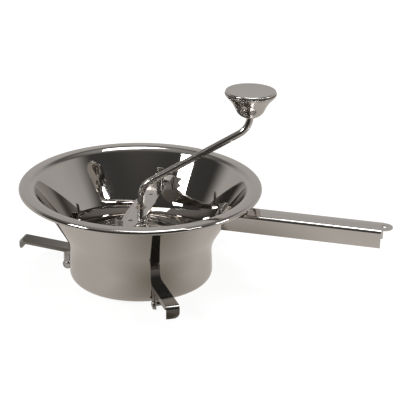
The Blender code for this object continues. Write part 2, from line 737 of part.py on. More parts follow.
def knob_shell(knob, material):
    """Hollow cone under the cap."""
    top = KNOB_TOP - KNOB_LIP - FIT_GAP - KNOB_SHEET
    tilt = math.degrees(math.atan(knob_slope()))
    edge = KNOB_RADIUS - SEAM_STEP
    corner = (KNOB_BASE_RADIUS - KNOB_CORNER * math.tan(math.radians(45 - tilt / 2)), KNOB_BOTTOM + KNOB_CORNER)
    path = [(edge, top)] + arc(corner, KNOB_CORNER, -tilt, -90, 4)
    path.append((BORE_RADIUS + KNOB_BUSH_WALL + FIT_GAP, KNOB_BOTTOM))
    turned("knob_shell", path, material, knob, closed=False, thickness=KNOB_SHEET, steps=36)


def knob_cap(knob, material):
    """Flat lid with a turned-down lip."""
    round_edge = arc((KNOB_RADIUS - KNOB_SHEET, KNOB_TOP - KNOB_SHEET), KNOB_SHEET, 90, 0, 3)
    path = [(0, KNOB_TOP)] + round_edge + [(KNOB_RADIUS, KNOB_TOP - KNOB_LIP)]
    path += [(KNOB_RADIUS - KNOB_SHEET, KNOB_TOP - KNOB_LIP), (KNOB_RADIUS - KNOB_SHEET, KNOB_TOP - 2 * KNOB_SHEET)]
    path.append((0, KNOB_TOP - 2 * KNOB_SHEET))
    turned("knob_cap", path, material, knob, closed=False, steps=36)


def knob_bush(knob, material):
    """Bearing inside the knob."""
    outer = BORE_RADIUS + KNOB_BUSH_WALL
    ring("knob_bush", BORE_RADIUS, outer, KNOB_BOTTOM, KNOB_BOTTOM + KNOB_BUSH_HEIGHT, material, knob)


def knob_retainer(crank, material):
    """Washer fixed on the rod's end that keeps the knob on."""
    bottom = KNOB_BOTTOM + KNOB_BUSH_HEIGHT + RUN_GAP
    outer = BORE_RADIUS + KNOB_BUSH_WALL + SEAT_THICKNESS
    washer = ring("knob_retainer", BORE_RADIUS, outer, bottom, bottom + SEAT_THICKNESS, material, crank)
    washer.location.x = KNOB_OFFSET


def build():
    polished = steel("polished_steel", (0.62, 0.60, 0.58), 0.08)
    satin = steel("satin_steel", (0.55, 0.53, 0.51), 0.25)
    plated = steel("plated_steel", (0.50, 0.49, 0.47), 0.2)
    bronze = steel("bearing_bronze", (0.45, 0.36, 0.24), 0.35)

    mill = empty("mill", location=(BOWL_X, 0, BASE_HEIGHT))
    bowl(mill, polished)
    sieve_disc(mill, satin)
    sieve_bush(mill, satin)
    handle(mill, polished)

    for number, angle in enumerate(LEG_ANGLES, start=1):
        place = Matrix.Rotation(math.radians(angle), 4, "Z") @ Vector((LEG_PIVOT_RADIUS, 0, LEG_PIVOT_HEIGHT))
        pivot = empty(f"leg_pivot_{number}", mill, place, angle)
        leg(number, pivot, polished)
        leg_bracket(number, pivot, satin)
        leg_pin(number, pivot, plated)

    for number, angle in enumerate((90, -90), start=1):
        bridge_lug(number, empty(f"lug_side_{number}", mill, turn=angle), satin)

    bridge = empty("bridge_axis", mill)
    bridge_bar(bridge, polished)
    bridge_bush(bridge, bronze)
    carriage = empty("carriage_axis", bridge)
    spring_seat(carriage, plated)
    pressure_spring(carriage, plated)

    crank = empty("crank_axis", carriage, turn=CRANK_ANGLE)
    crank_rod(crank, polished)
    cross_pin(crank, plated)
    blade_hub(crank, satin)
    hub_pin(crank, plated)
    blade_wing("auger_wing", *AUGER, crank, polished)
    blade_wing("scraper_wing", *SCRAPER, crank, polished)
    knob_retainer(crank, plated)

    knob = empty("knob_axis", crank, location=(KNOB_OFFSET, 0, 0))
    knob_shell(knob, polished)
    knob_cap(knob, polished)
    knob_bush(knob, bronze)


build()
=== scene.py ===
import math

import bmesh
import bpy
from mathutils import Matrix, Vector


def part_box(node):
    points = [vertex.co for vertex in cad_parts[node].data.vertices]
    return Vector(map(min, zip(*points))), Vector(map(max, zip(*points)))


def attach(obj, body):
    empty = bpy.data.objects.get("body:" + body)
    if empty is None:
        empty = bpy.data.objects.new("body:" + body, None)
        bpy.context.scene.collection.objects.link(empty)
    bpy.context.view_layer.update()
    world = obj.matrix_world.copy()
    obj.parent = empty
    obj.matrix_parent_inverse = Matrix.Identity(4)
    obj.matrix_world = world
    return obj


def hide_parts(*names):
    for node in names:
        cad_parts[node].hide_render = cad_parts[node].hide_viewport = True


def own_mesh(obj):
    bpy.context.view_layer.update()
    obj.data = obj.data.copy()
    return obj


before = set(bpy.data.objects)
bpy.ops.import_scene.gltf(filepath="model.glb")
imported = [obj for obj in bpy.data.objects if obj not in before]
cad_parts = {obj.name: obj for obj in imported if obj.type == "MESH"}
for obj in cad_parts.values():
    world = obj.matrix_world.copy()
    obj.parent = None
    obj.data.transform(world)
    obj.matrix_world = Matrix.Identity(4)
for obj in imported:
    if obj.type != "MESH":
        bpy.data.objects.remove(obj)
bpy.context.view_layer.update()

# A rotary food mill. Sizes are in metres. Most repeat the CAD model's own driving dimensions, and a comment
# says where one doesn't.
# The mill's own heights start at its base ring, which stands a little above the ground.

MM = 0.001

# Bowl
SHEET = 0.9 * MM
RIM_RADIUS = 122 * MM
RIM_HEIGHT = 98.7 * MM
BEAD_RADIUS = 3.5 * MM
SKIRT_RADIUS = 71 * MM
SKIRT_HEIGHT = 25 * MM  # 31 mm in the CAD, whose flare is tighter
FLARE_RADIUS = 47 * MM  # 27 mm in the CAD
CONE_LEAN = 31  # degrees from vertical
LIP_RADIUS = 8 * MM
BASE_CORNER_RADIUS = 7 * MM  # 4 mm in the CAD
BASE_RING_WIDTH = 7 * MM
LOBE_DEPTH = 0.7 * MM  # half of what the skirt swells between the legs
LOBE_FADE = 30 * MM  # height over which the swelling fades out
LOBE_COUNT = 3
BEAD_END = -150  # degrees; where the rolled edge ends inside the bead

# Sieve
SIEVE_THICKNESS = 0.8 * MM
SIEVE_DOME = 2.5 * MM
SIEVE_HOLE_RADIUS = 1.5 * MM
SIEVE_HOLE_PITCH = 5.2 * MM
SIEVE_BUSH_WALL = 4 * MM
FIT_GAP = 0.3 * MM
RUN_GAP = 0.6 * MM
SEAM = 0.02 * MM  # keeps two faces that are joined from lying in one plane

# Handle
HANDLE_SHEET = 1.0 * MM
HANDLE_WIDTH = 24 * MM
HANDLE_DEPTH = 18 * MM
HANDLE_TOP = 80.5 * MM
HANDLE_BEND = 3 * MM
HANDLE_REACH = 242.5 * MM
TONGUE_LENGTH = 10 * MM
HANG_HOLE_RADIUS = 3.1 * MM
WELD_PLATE_LENGTH = 17 * MM

# Legs
LEG_ANGLES = (180, -60, 60)
LEG_SHEET = 1.0 * MM
LEG_WIDTH = 13 * MM
LEG_FLANGE = 5 * MM
LEG_ARM_TOP = 20 * MM
LEG_ARM_RISE = 4.6
LEG_REACH = 129.5 * MM
LEG_HOOK_DROP = 13 * MM
LEG_HOOK_BEND = 3 * MM
LEG_HOOK_ROUND = 5.5 * MM  # of the hook's lower corners
LEG_FILLET = 3 * MM
LEG_EDGE = 1.3 * MM  # rounding of the long edges
LEG_STRAP_WIDTH = 4.5 * MM
LEG_EYE_RADIUS = 5 * MM
LEG_PIVOT_HEIGHT = 1.3 * MM
LEG_PIVOT_OFFSET = 6.4 * MM
LEG_PIN_RADIUS = 2 * MM
LEG_PIN_HEAD_RADIUS = 3.2 * MM
LEG_PIN_HEAD = 1.3 * MM

# Bridge
BAR_TOP = 72 * MM
BAR_THICKNESS = 1.6 * MM
BAR_MIDDLE_WIDTH = 21 * MM
BAR_END_WIDTH = 12 * MM
BAR_HOLE_RADIUS = 2.2 * MM
BAR_HOLE_OFFSET = 35.6 * MM
BUSH_WALL = 1.6 * MM
TAB_WIDTH = 8 * MM
TAB_CURL = 6 * MM
TAB_GAP = 1.5 * MM
TAB_SHEET = 0.7  # of the bar's thickness

# Crank
CRANK_ANGLE = 16.5
ROD_RADIUS = 3.5 * MM
ROD_FOOT = 2.2 * MM
ROD_BEND = 20 * MM
ROD_RISE = 30
ROD_CORNER_HEIGHT = 94.4 * MM
KNOB_OFFSET = 107 * MM
WING_THICKNESS = 1.2 * MM
WING_REACH = 62 * MM
WING_TAPER = 0.3
WING_LOW = 7 * MM
AUGER = (100, 135, 23 * MM)
SCRAPER = (290, 60, 12 * MM)
HUB_RADIUS = 8.5 * MM
SPRING_WIRE_RADIUS = 1 * MM
SPRING_RADIUS = 6.5 * MM
SPRING_TURNS = 7
SPRING_CLOSED_TURNS = 0.75  # at each end
SPRING_CLOSED_PITCH = 2.1 * SPRING_WIRE_RADIUS

# Knob
KNOB_SHEET = 0.8 * MM
KNOB_RADIUS = 25 * MM
KNOB_BOTTOM = 168.6 * MM
KNOB_TOP = 195 * MM
KNOB_LIP = 2.4 * MM
KNOB_DISH = 0.4 * MM  # of the lid's middle below its lip
KNOB_BUSH_WALL = 2 * MM
KNOB_BUSH_HEIGHT = 12 * MM
ROD_END = 4 * MM

# Worked out
AXIS_X = sum(corner[0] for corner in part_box("sieve_bush")) / 2
BASE_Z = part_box("bowl")[0][2]
BEAD_CENTRE = Vector((RIM_RADIUS - BEAD_RADIUS, RIM_HEIGHT - BEAD_RADIUS))
FLARE_CENTRE = Vector((SKIRT_RADIUS + FLARE_RADIUS, SKIRT_HEIGHT))
LEG_PIVOT_RADIUS = SKIRT_RADIUS + LEG_PIVOT_OFFSET
HANDLE_END = HANDLE_REACH + TONGUE_LENGTH
BORE_RADIUS = ROD_RADIUS + FIT_GAP
BOWL_STEPS = 288
CUT_THROUGH = 6  # a hole's cutter is this many sheet thicknesses long


CONE_ANGLE = math.radians(CONE_LEAN)
CONE_START = FLARE_CENTRE + FLARE_RADIUS * Vector((-math.cos(CONE_ANGLE), math.sin(CONE_ANGLE)))


def cone_radius(height):
    return CONE_START.x + (height - CONE_START.y) * math.tan(CONE_ANGLE)


def lip_centre():
    """Centre of the bend that leads from the cone to the level lip."""
    height = RIM_HEIGHT - SHEET - LIP_RADIUS
    bend_start = height + LIP_RADIUS * math.sin(CONE_ANGLE)
    return cone_radius(bend_start) + LIP_RADIUS * math.cos(CONE_ANGLE), height


def arc(centre, radius, start, end, steps):
    """Points on a circle from one angle to another, in degrees."""
    angles = [math.radians(start + (end - start) * i / steps) for i in range(steps + 1)]
    return [(centre[0] + radius * math.cos(a), centre[1] + radius * math.sin(a)) for a in angles]


def line(start, end, steps):
    """Points between two ends, without the ends."""
    return [
        (start[0] + (end[0] - start[0]) * i / steps, start[1] + (end[1] - start[1]) * i / steps)
        for i in range(1, steps)
    ]


MILL = Matrix.Translation((AXIS_X, 0, BASE_Z))
CRANK = MILL @ Matrix.Rotation(math.radians(CRANK_ANGLE), 4, "Z")
SIDE_ON = Matrix.Rotation(math.radians(90), 4, "X")


def leg_place(angle):
    turn = Matrix.Rotation(math.radians(angle), 4, "Z")
    return MILL @ turn @ Matrix.Translation((LEG_PIVOT_RADIUS, 0, LEG_PIVOT_HEIGHT))


# Materials


class Nodes:
    """A material's node tree, with short calls to add to it."""

    def __init__(self, name):
        self.material = bpy.data.materials.new(name)
        self.material.use_nodes = True
        self.tree = self.material.node_tree
        self.shader = self.tree.nodes["Principled BSDF"]

    def add(self, kind, inputs=None, **settings):
        node = self.tree.nodes.new(kind)
        for key, value in settings.items():
            setattr(node, key, value)
        for key, value in (inputs or {}).items():
            self.feed(node.inputs[key], value)
        return node

    def feed(self, socket, value):
        if isinstance(value, bpy.types.NodeSocket):
            self.tree.links.new(value, socket)
        else:
            socket.default_value = value

    def maths(self, operation, first, second=0.0, third=0.0):
        node = self.add("ShaderNodeMath", {0: first, 1: second, 2: third}, operation=operation)
        return node.outputs[0]

    def mix(self, factor, first, second):
        node = self.add("ShaderNodeMix", data_type="RGBA")
        for index, value in ((0, factor), (6, first), (7, second)):
            self.feed(node.inputs[index], value)
        return node.outputs[2]

    def noise(self, vector, scale, detail=3.0, roughness=0.55):
        inputs = {"Vector": vector, "Scale": scale, "Detail": detail, "Roughness": roughness}
        return self.add("ShaderNodeTexNoise", inputs).outputs["Fac"]

    def stretched(self, vector, scale):
        return self.add("ShaderNodeMapping", {"Vector": vector, "Scale": scale}).outputs[0]

    def span(self, value, low, high, to_low, to_high):
        inputs = {0: value, 1: low, 2: high, 3: to_low, 4: to_high}
        return self.add("ShaderNodeMapRange", inputs, clamp=True).outputs[0]


def object_point(nodes):
    return nodes.add("ShaderNodeTexCoord").outputs["Object"]


def round_point(nodes, centre):
    """(distance from a vertical axis, angle round it, height), so that scratches run round a piece."""
    moved = nodes.add("ShaderNodeVectorMath", {0: object_point(nodes), 1: centre}, operation="SUBTRACT")
    split = nodes.add("ShaderNodeSeparateXYZ", {0: moved.outputs[0]})
    x, y, z = split.outputs
    square = nodes.maths("ADD", nodes.maths("MULTIPLY", x, x), nodes.maths("MULTIPLY", y, y))
    radius = nodes.maths("SQRT", square)
    angle = nodes.maths("ARCTAN2", y, x)
    return nodes.add("ShaderNodeCombineXYZ", {0: radius, 1: angle, 2: z}).outputs[0]


def metal(name, colour, tint, roughness, scratch_point, scratch_scale, wave=0.0, wear=0.05, grain=0.02):
    """Steel or bronze: cloudy colour, polishing scratches along one direction, smears, and worn edges whose
    colour is lightened both as wear and as a painted highlight.

    scratch_point takes the node helper and gives the point that the scratches follow;
    scratch_scale is small along the scratches and large across them.
    """
    nodes = Nodes(name)
    shader = nodes.shader
    point = object_point(nodes)
    lines = nodes.noise(nodes.stretched(scratch_point(nodes), scratch_scale), 1.0, 4.0, 0.6)
    hairs = nodes.span(lines, 0.62, 0.72, 0.0, 1.0)
    stray = nodes.noise(nodes.stretched(point, (900.0, 60.0, 500.0)), 1.0, 2.0)
    stray = nodes.span(stray, 0.7, 0.76, 0.0, 1.0)
    smear = nodes.noise(point, 28.0, 4.0, 0.6)
    # Edges are lightened in colour: partly wear, partly a painted highlight along every edge.
    edge = nodes.add("ShaderNodeNewGeometry").outputs["Pointiness"]
    edge = nodes.span(edge, 0.52, 0.58, 0.0, 1.0)

    mixed = nodes.mix(smear, (*colour, 1), (*tint, 1))
    worn_and_highlit_colour = nodes.mix(nodes.maths("MULTIPLY", edge, 0.35), mixed, (0.86, 0.85, 0.83, 1))
    nodes.feed(shader.inputs["Base Color"], worn_and_highlit_colour)
    shader.inputs["Metallic"].default_value = 1

    rough = nodes.span(smear, 0.3, 0.75, roughness * 0.75, roughness * 1.35)
    rough = nodes.maths("MULTIPLY_ADD", hairs, grain, rough)
    rough = nodes.maths("MULTIPLY_ADD", stray, grain, rough)
    rough = nodes.maths("MULTIPLY_ADD", edge, wear, rough)
    nodes.feed(shader.inputs["Roughness"], rough)

    swell = nodes.noise(nodes.stretched(point, (9.0, 9.0, 14.0)), 1.0, 1.0)
    height = nodes.maths("MULTIPLY", swell, wave)
    height = nodes.maths("MULTIPLY_ADD", lines, grain * 0.004, height)
    bump = nodes.add("ShaderNodeBump", {"Height": height, "Strength": 0.5, "Distance": 0.01})
    nodes.feed(shader.inputs["Normal"], bump.outputs[0])
    return nodes.material


# Each finish has a colour, and a tint that it fades to in clouds
POLISHED, POLISHED_TINT = (0.60, 0.575, 0.55), (0.555, 0.53, 0.505)
# The legs' colour is darkened to paint in the dark reflection and shade on their tops.
PAINTED_DARK, PAINTED_DARK_TINT = (0.17, 0.16, 0.145), (0.12, 0.115, 0.10)
SATIN, SATIN_TINT = (0.56, 0.54, 0.52), (0.50, 0.48, 0.46)
# Dull steel for the sieve, its colour also darkened to paint in the shade at the bowl's bottom.
DULL_AND_SHADED, DULL_AND_SHADED_TINT = (0.30, 0.285, 0.265), (0.22, 0.21, 0.195)
PLATED, PLATED_TINT = (0.52, 0.51, 0.49), (0.46, 0.45, 0.43)
BRONZE, BRONZE_TINT = (0.46, 0.36, 0.24), (0.36, 0.27, 0.17)


def around(centre):
    return lambda nodes: round_point(nodes, centre)


def polished(
    name, scratch_point=object_point, scratch_scale=(60.0, 900.0, 900.0), roughness=0.07, wave=0.02
):
    return metal(name, POLISHED, POLISHED_TINT, roughness, scratch_point, scratch_scale, wave)


def satin(name, scratch_point=object_point, scratch_scale=(80.0, 1400.0, 1400.0)):
    return metal(name, SATIN, SATIN_TINT, 0.24, scratch_point, scratch_scale, wear=0.1, grain=0.07)


def make_materials():
    mill = around((AXIS_X, 0.0, 0.0))
    knob = around(tuple(CRANK @ Vector((KNOB_OFFSET, 0, 0))))
    turned = (1400.0, 5.0, 1400.0)
    return {
        "bowl": polished("bowl_steel", mill, turned, roughness=0.035, wave=0.012),
        "handle": polished("handle_steel"),
        # Dark colour painted on the legs in place of the dark reflection on their tops.
        "leg": metal("leg_steel_painted_dark", PAINTED_DARK, PAINTED_DARK_TINT, 0.08, object_point, (300.0, 300.0, 900.0)),
        "bar": polished("bar_steel", scratch_scale=(900.0, 60.0, 900.0), roughness=0.11, wave=0.0),
        "rod": polished("rod_steel", scratch_scale=(500.0, 500.0, 900.0), roughness=0.16, wave=0.0),
        "knob": polished("knob_steel", knob, (400.0, 3.0, 400.0), roughness=0.15, wave=0.0),
        "wing": polished("wing_steel", mill, turned, roughness=0.1, wave=0.0),
        # The sieve's dark colour is partly dull steel and partly painted shade.
        "sieve": metal(
            "sieve_steel_shaded", DULL_AND_SHADED, DULL_AND_SHADED_TINT, 0.3, mill, (900.0, 12.0, 900.0), wear=0.1, grain=0.07
        ),
        "hub": satin("hub_steel", mill, turned),
        "bracket": satin("bracket_steel"),
        "plated": metal(
            "plated_steel", PLATED, PLATED_TINT, 0.17, object_point, (700.0, 700.0, 90.0), grain=0.05
        ),
        "bronze": metal("bearing_bronze", BRONZE, BRONZE_TINT, 0.34, mill, turned, wear=0.1, grain=0.08),
    }


# Modelling tools


def new_piece(name, mesh, material, sharp=30):
    obj = bpy.data.objects.new(name, mesh)
    bpy.context.scene.collection.objects.link(obj)
    mesh.materials.clear()
    mesh.materials.append(material)
    mesh.shade_smooth()
    mesh.set_sharp_from_angle(angle=math.radians(sharp))
    return obj


def bake(obj):
    """Applies the object's modifiers and drops its helper objects."""
    helpers = [m.object for m in obj.modifiers if m.type == "BOOLEAN"]
    graph = bpy.context.evaluated_depsgraph_get()
    mesh = bpy.data.meshes.new_from_object(obj.evaluated_get(graph))
    obj.modifiers.clear()
    obj.data = mesh
    for helper in helpers:
        bpy.data.objects.remove(helper)
    return obj


def boolean(obj, operation, *others):
    for other in others:
        modifier = obj.modifiers.new(operation.lower(), "BOOLEAN")
        modifier.operation = operation
        modifier.object = other
    return bake(obj)


def soften(obj, width, segments=3, angle=35, sharp=30):
    """Rounds the sharp edges, the way pressed or filed metal is rounded."""
    bevel = obj.modifiers.new("Edges", "BEVEL")
    bevel.width = width
    bevel.segments = segments
    bevel.limit_method = "ANGLE"
    bevel.angle_limit = math.radians(angle)
    bevel.harden_normals = False
    bevel.miter_outer = "MITER_ARC"
    bake(obj)
    obj.data.shade_smooth()
    obj.data.set_sharp_from_angle(angle=math.radians(sharp))
    return obj


def weighted(obj):
    """Keeps flat faces flat to the eye beside their rounded edges."""
    modifier = obj.modifiers.new("Flat faces", "WEIGHTED_NORMAL")
    modifier.weight = 80
    modifier.keep_sharp = True
    return obj


def swept_mesh(name, rows, closed_rows=True, closed_columns=True):
    """Faces between rows of points; each row has the same number of points."""
    made = bmesh.new()
    verts = [[made.verts.new(point) for point in row] for row in rows]
    row_count, count = len(verts), len(verts[0])
    for i in range(row_count if closed_rows else row_count - 1):
        below, above = verts[i], verts[(i + 1) % row_count]
        for j in range(count if closed_columns else count - 1):
            k = (j + 1) % count
            made.faces.new((below[j], below[k], above[k], above[j]))
    bmesh.ops.recalc_face_normals(made, faces=made.faces)
    mesh = bpy.data.meshes.new(name)
    made.to_mesh(mesh)
    made.free()
    return mesh


def turned_mesh(name, profile, steps, closed=True, bulge=None):
    """A profile of (radius, height) swept round Z. bulge gives the radius to add at a height and angle."""
    rows = []
    for i in range(steps):
        angle = math.tau * i / steps
        row = []
        for radius, height in profile:
            if bulge:
                radius += bulge(radius, height, angle)
            row.append((radius * math.cos(angle), radius * math.sin(angle), height))
        rows.append(row)
    return swept_mesh(name, rows, closed_columns=closed)


def capped(mesh):
    """Closes the ends of an open tube."""
    made = bmesh.new()
    made.from_mesh(mesh)
    bmesh.ops.holes_fill(made, edges=made.edges)
    bmesh.ops.recalc_face_normals(made, faces=made.faces)
    made.to_mesh(mesh)
    made.free()
    return mesh


def plate_mesh(name, outline, thickness, matrix):
    """A flat outline in XY, extruded both ways by half the thickness, then placed by a matrix."""
    made = bmesh.new()
    lower = [made.verts.new((x, y, -thickness / 2)) for x, y in outline]
    upper = [made.verts.new((x, y, thickness / 2)) for x, y in outline]
    made.faces.new(reversed(lower))
    made.faces.new(upper)
    for i in range(len(outline)):
        j = (i + 1) % len(outline)
        made.faces.new((lower[i], lower[j], upper[j], upper[i]))
    bmesh.ops.recalc_face_normals(made, faces=made.faces)
    made.transform(matrix)
    mesh = bpy.data.meshes.new(name)
    made.to_mesh(mesh)
    made.free()
    return mesh


def plate(name, outline, thickness, material, matrix):
    return new_piece(name, plate_mesh(name, outline, thickness, matrix), material)


def drill(name, radius, length, matrix, sides=48):
    """A cutter for a round hole along the matrix's own Z."""
    mesh = bpy.data.meshes.new(name)
    made = bmesh.new()
    bmesh.ops.create_cone(
        made, cap_ends=True, segments=sides, radius1=radius, radius2=radius, depth=length, matrix=matrix
    )
    made.to_mesh(mesh)
    made.free()
    obj = bpy.data.objects.new(name, mesh)
    bpy.context.scene.collection.objects.link(obj)
    return obj


def tube_mesh(name, path, radius, sides=28):
    """A round bar along a smooth path in one plane or in space, its ends chamfered and closed."""
    points = [Vector(point) for point in path]
    rows = []
    side = None
    for i, point in enumerate(points):
        ahead = points[min(i + 1, len(points) - 1)] - points[max(i - 1, 0)]
        ahead.normalize()
        if side is None:
            side = ahead.orthogonal().normalized()
        side = (side - ahead * side.dot(ahead)).normalized()
        other = ahead.cross(side)
        ring = []
        for k in range(sides):
            angle = math.tau * k / sides
            ring.append(point + radius * (math.cos(angle) * side + math.sin(angle) * other))
        rows.append(ring)
    for end, beside in ((0, 1), (-1, -2)):
        inward = (points[beside] - points[end]).normalized() * radius * 0.25
        rim = [vertex + inward for vertex in rows[end]]
        face = [points[end] + (vertex - points[end]) * 0.75 for vertex in rows[end]]
        rows[end] = rim
        rows.insert(0 if end == 0 else len(rows), face)
    return capped(swept_mesh(name, rows, closed_rows=False))


def stand_for(obj, body, *nodes, slot="polished_steel"):
    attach(obj, body)
    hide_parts(*nodes)
    return obj


# Bowl and sieve


def skirt_lobes(radius, height, angle):
    """The skirt swells between the legs and is flat where they sit."""
    fade = min(1, max(0, (SKIRT_HEIGHT + LOBE_FADE / 3 - height) / LOBE_FADE))
    fade = fade * fade * (3 - 2 * fade)
    inner_edge = SKIRT_RADIUS - BASE_CORNER_RADIUS - BASE_RING_WIDTH
    near_wall = min(1, max(0, (radius - inner_edge) / BASE_RING_WIDTH))
    return LOBE_DEPTH * fade * near_wall * (1 + math.cos(LOBE_COUNT * angle))


def make_bowl(material):
    """Spun sheet, drawn along its outside from the bead's hidden edge down to the base ring."""
    wall = math.degrees(CONE_ANGLE)
    bead = arc(BEAD_CENTRE, BEAD_RADIUS - SHEET, BEAD_END, 90, 36)
    bead += arc(lip_centre(), LIP_RADIUS, 90, 180 - wall, 14)
    flare = arc(FLARE_CENTRE, FLARE_RADIUS, 180 - wall, 180, 18)
    corner_centre = (SKIRT_RADIUS - BASE_CORNER_RADIUS, BASE_CORNER_RADIUS)
    corner = arc(corner_centre, BASE_CORNER_RADIUS, 0, -90, 12)
    edge = (corner_centre[0] - BASE_RING_WIDTH / 2, 0)
    path = bead + line(bead[-1], flare[0], 24) + flare + line(flare[-1], corner[0], 16) + corner
    path += line(corner[-1], edge, 4) + [edge]
    mesh = turned_mesh("bowl_steel_sheet", path, BOWL_STEPS, closed=False, bulge=skirt_lobes)
    mesh.transform(MILL)
    bowl = new_piece("bowl_shell", mesh, material, sharp=60)
    shell = bowl.modifiers.new("Sheet", "SOLIDIFY")
    shell.thickness = SHEET
    shell.offset = -1
    shell.use_even_offset = True
    return stand_for(bowl, "root", "bowl")


def make_sieve(material):
    """Slightly domed disc with a fine pattern of holes, lying on the base ring."""
    low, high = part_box("sieve_disc")
    outer = (high[0] - low[0]) / 2 - BASE_CORNER_RADIUS / 2
    inner = BORE_RADIUS + SIEVE_BUSH_WALL + FIT_GAP
    flat = BASE_RING_WIDTH
    seat = SHEET + FIT_GAP

    def top(radius):
        share = min(1, max(0, (radius - inner) / (outer - flat - inner)))
        return seat + SIEVE_DOME * (1 - share * share) + SIEVE_THICKNESS

    radii = [outer - (outer - inner) * i / 24 for i in range(25)]
    upper = [(r, top(r)) for r in radii]
    lower = [(r, z - SIEVE_THICKNESS) for r, z in reversed(upper)]
    mesh = turned_mesh("sieve_sheet", upper + lower, 144)
    mesh.transform(MILL)
    sieve = new_piece("sieve_plate", mesh, material)
    cutters = bmesh.new()
    rings = int((outer - flat - inner - SIEVE_HOLE_RADIUS) / SIEVE_HOLE_PITCH)
    for number in range(rings):
        radius = outer - flat - SIEVE_HOLE_PITCH * (number + 0.5)
        count = int(math.tau * radius / SIEVE_HOLE_PITCH)
        for i in range(count):
            angle = math.tau * (i + number / 2) / count
            place = Matrix.Translation((radius * math.cos(angle), radius * math.sin(angle), top(radius)))
            bmesh.ops.create_cone(
                cutters, cap_ends=True, segments=12, radius1=SIEVE_HOLE_RADIUS, radius2=SIEVE_HOLE_RADIUS,
                depth=CUT_THROUGH * SIEVE_THICKNESS, matrix=MILL @ place,
            )
    holes = bpy.data.meshes.new("sieve_holes")
    cutters.to_mesh(holes)
    cutters.free()
    boolean(sieve, "DIFFERENCE", new_piece("sieve_holes", holes, material))
    sieve.data.set_sharp_from_angle(angle=math.radians(30))
    return stand_for(sieve, "root", "sieve_disc", slot="satin_steel")


# Handle


def channel_outline():
    """Section of an inverted U, its top at y = 0."""
    half = HANDLE_WIDTH / 2
    bend, sheet = HANDLE_BEND, HANDLE_SHEET
    outer = arc((half - bend, -bend), bend, 0, 90, 12) + arc((bend - half, -bend), bend, 90, 180, 12)
    inner = arc((bend - half, -bend), bend - sheet, 180, 90, 12)
    inner += arc((half - bend, -bend), bend - sheet, 90, 0, 12)
    ends = [(-half, -HANDLE_DEPTH), (-half + sheet, -HANDLE_DEPTH)]
    return outer + ends + inner + [(half - sheet, -HANDLE_DEPTH), (half, -HANDLE_DEPTH)]


def make_handle(material):
    """Channel from the cone outwards, welded to the bowl by a plate inside its inner end."""
    start = cone_radius(HANDLE_TOP - HANDLE_DEPTH) - HANDLE_DEPTH
    length = HANDLE_REACH - start
    along_x = Matrix(((0, 0, 1, 0), (1, 0, 0, 0), (0, 1, 0, 0), (0, 0, 0, 1)))
    place = MILL @ Matrix.Translation((start + length / 2, 0, HANDLE_TOP)) @ along_x
    channel = plate("handle_channel", channel_outline(), length, material, place)

    middle = HANDLE_TOP - HANDLE_DEPTH / 2
    outward = Vector((math.cos(CONE_ANGLE), 0, -math.sin(CONE_ANGLE)))
    centre = Vector((cone_radius(middle), 0, middle)) + outward * (FIT_GAP + HANDLE_SHEET / 2)
    lean = MILL @ Matrix.Translation(centre) @ Matrix.Rotation(math.radians(90) + CONE_ANGLE, 4, "Y")
    half_length, half_width = WELD_PLATE_LENGTH / 2, HANDLE_WIDTH / 2 - HANDLE_SHEET / 2
    signs = ((-1, -1), (1, -1), (1, 1), (-1, 1))
    rectangle = [(along * half_length, across * half_width) for along, across in signs]
    weld_plate = plate("weld_plate", rectangle, HANDLE_SHEET, material, lean)

    root = HANDLE_REACH - HANDLE_BEND * 2
    tip_radius = HANDLE_WIDTH / 2 - HANDLE_BEND
    tip = arc((HANDLE_END - tip_radius, 0), tip_radius, -90, 90, 40)
    flat = MILL @ Matrix.Translation((0, 0, HANDLE_TOP - HANDLE_SHEET / 2))
    outline = [(root, -tip_radius)] + tip + [(root, tip_radius)]
    tongue = plate("tongue", outline, HANDLE_SHEET - 2 * SEAM, material, flat)
    boolean(channel, "UNION", weld_plate, tongue)

    low, high = HANDLE_TOP - 2 * HANDLE_DEPTH, RIM_HEIGHT
    gap = FIT_GAP / 3
    profile = [(cone_radius(high) + gap, high), (cone_radius(low) + gap, low)]
    cone = turned_mesh("bowl_space", profile, 2 * BOWL_STEPS, closed=False)
    cone.transform(MILL)
    cone = new_piece("bowl_space", capped(cone), material)
    at_hole = flat @ Matrix.Translation((HANDLE_END - tip_radius, 0, 0))
    hole = drill("hang_hole", HANG_HOLE_RADIUS, CUT_THROUGH * HANDLE_SHEET, at_hole)
    boolean(channel, "DIFFERENCE", cone, hole)
    soften(channel, 0.22 * MM, segments=2, angle=50)
    weighted(channel)
    return stand_for(channel, "root", "handle")


# Legs


def arm_top(reach):
    """Height of the arm's top above the pin at a distance outwards from the pin."""
    return LEG_ARM_TOP - LEG_PIVOT_HEIGHT + reach * math.tan(math.radians(LEG_ARM_RISE))


def leg_strap_outline():
    """Side of a leg, from its pin: the eye, the strap up the skirt and the flange along the arm."""
    inner_end = RUN_GAP - LEG_PIVOT_OFFSET + 0.05 * MM
    outer_end = LEG_REACH - LEG_PIVOT_RADIUS - LEG_SHEET - LEG_HOOK_BEND
    half = LEG_STRAP_WIDTH / 2
    corner = LEG_FILLET + half
    meet = math.degrees(math.asin(half / LEG_EYE_RADIUS))

    def sheet_middle(reach):
        return arm_top(reach) - LEG_SHEET / 2

    def flange(reach):
        return sheet_middle(reach) - LEG_FLANGE

    eye = arc((0, 0), LEG_EYE_RADIUS, 90 + meet, 450 - meet, 48)
    fillet = arc((corner, flange(corner) - LEG_FILLET), LEG_FILLET, 180, 90 + LEG_ARM_RISE, 10)
    end_round = arc((outer_end - 2 * MM, flange(outer_end - 2 * MM) + 2 * MM), 2 * MM, -90, 0, 8)
    arm = end_round + [(outer_end, sheet_middle(outer_end)), (inner_end, sheet_middle(inner_end))]
    gusset = [(inner_end, flange(inner_end) + LEG_SHEET), (-half, flange(-half) - 2 * LEG_SHEET)]
    return eye + fillet + arm + gusset


